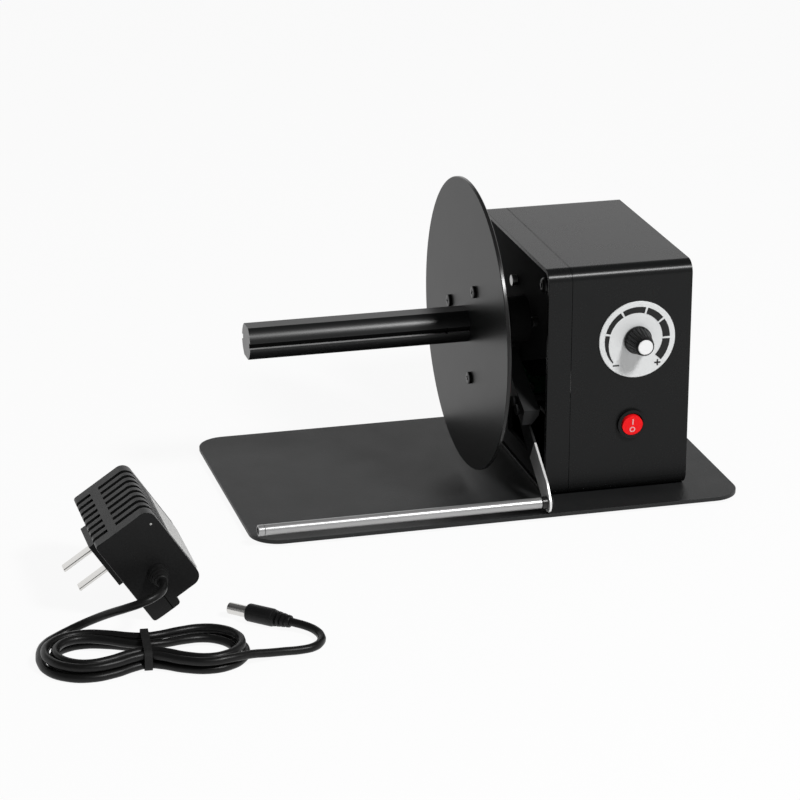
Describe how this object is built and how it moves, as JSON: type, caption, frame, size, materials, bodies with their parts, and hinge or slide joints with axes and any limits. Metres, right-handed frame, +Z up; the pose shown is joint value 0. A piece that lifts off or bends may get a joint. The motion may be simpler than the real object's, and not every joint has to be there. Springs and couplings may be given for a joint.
{
  "type": "label rewinder",
  "caption": "Desktop label rewinder: a motor housing turns a grooved spindle with a flange disc over a base plate, with a swinging guide bar, speed dial, rocker switch and power adapter.",
  "frame": {"origin": "middle of the machine's outline on the desk, below the base plate, without the power supply and its cord", "axes": "+X along the spindle towards the housing, +Y from the control side to the back, +Z up"},
  "size_m": [0.3797, 0.2895, 0.1604],
  "materials": {
    "powder_coat": "fine black powder coat",
    "black_anodised": "satin black anodised",
    "black_steel": "black oxide",
    "steel": "bright zinc or ground steel",
    "polished_tube": "polished",
    "brass": "machined",
    "cast_lid": "cast",
    "dial_metal": "satin silver",
    "black_plastic": "fine grain",
    "red_plastic": "gloss",
    "white_print": "printed",
    "black_print": "printed",
    "black_rubber": "matt",
    "circuit_board": "coated",
    "wire": "satin"
  },
  "bodies": {
    "machine": {"adapter_base": "black_plastic", "adapter_cover": "black_plastic", "adapter_prongs": "steel", "arm_pivot_pin": "steel", "arm_sensor": "circuit_board", "arm_stop_bracket": "powder_coat", "arm_stop_pad": "black_rubber", "base_plate": "powder_coat", "base_screws": "steel", "board_screws": "steel", "control_board": "circuit_board", "cord_hank": "black_rubber", "cord_lead": "black_rubber", "cord_tail": "black_rubber", "cord_tie": "black_plastic", "dc_socket": "black_plastic", "dc_socket_nut": "steel", "dial_control": "black_plastic", "dial_nut": "steel", "dial_plate": "dial_metal", "dial_scale": "black_print", "gear_case": "powder_coat", "gear_case_lid": "cast_lid", "gear_unit_screws": "steel", "housing_bolts": "black_steel", "housing_cover": "powder_coat", "housing_ring": "powder_coat", "motor_can": "steel", "motor_end_bell": "black_plastic", "plug_barrel": "steel", "plug_grip": "black_plastic", "rubber_feet": "black_rubber", "shaft_bearings": "steel", "side_panel": "powder_coat", "strain_relief": "black_rubber", "switch_body": "black_plastic", "wiring": "wire"},
    "spindle": {"drive_shaft": "steel", "drive_gear": "brass", "spindle_hub": "black_anodised", "flange_disc": "black_anodised", "disc_screws": "black_steel", "spindle": "black_anodised", "set_screws": "black_steel"},
    "motor": {"motor_pinion": "brass", "motor_armature": "steel"},
    "tension_arm": {"arm_bush": "brass", "arm_bar": "black_anodised", "arm_plate": "black_anodised", "arm_screws": "black_steel", "arm_peg": "steel", "roller_axle": "steel", "roller_collar": "black_steel", "roller_end_cap": "polished_tube"},
    "guide_roller": {"roller_sleeve": "polished_tube"},
    "knob": {"speed_knob": "black_plastic", "knob_cap": "dial_metal", "dial_shaft": "steel"},
    "rocker": {"switch_rocker": "red_plastic", "rocker_marks": "white_print"}
  },
  "joints": [
    {"name": "spindle_spin", "type": "hinge", "parent": "machine", "child": "spindle", "pos_m": [0, -0.005, 0.0854], "axis": [1, 0, 0], "continuous": true},
    {"name": "motor_spin", "type": "hinge", "parent": "machine", "child": "motor", "pos_m": [0, 0.025, 0.0854], "axis": [1, 0, 0], "continuous": true},
    {"name": "arm_swing", "type": "hinge", "parent": "machine", "child": "tension_arm", "pos_m": [0.02265, 0.009, 0.065], "axis": [-1, 0, 0], "range_deg": [0, 22]},
    {"name": "roller_spin", "type": "hinge", "parent": "tension_arm", "child": "guide_roller", "pos_m": [0, -0.068, 0.009], "axis": [1, 0, 0], "continuous": true},
    {"name": "knob_turn", "type": "hinge", "parent": "machine", "child": "knob", "pos_m": [0.0746, -0.055, 0.0848], "axis": [0, -1, 0], "range_deg": [-131, 131]},
    {"name": "rocker_tilt", "type": "hinge", "parent": "machine", "child": "rocker", "pos_m": [0.0728, -0.0486, 0.04], "axis": [-1, 0, 0], "range_deg": [0, 16]}
  ],
  "couplings": [
    {"joint": "motor_spin", "follows": "spindle_spin", "ratio": -3}
  ]
}
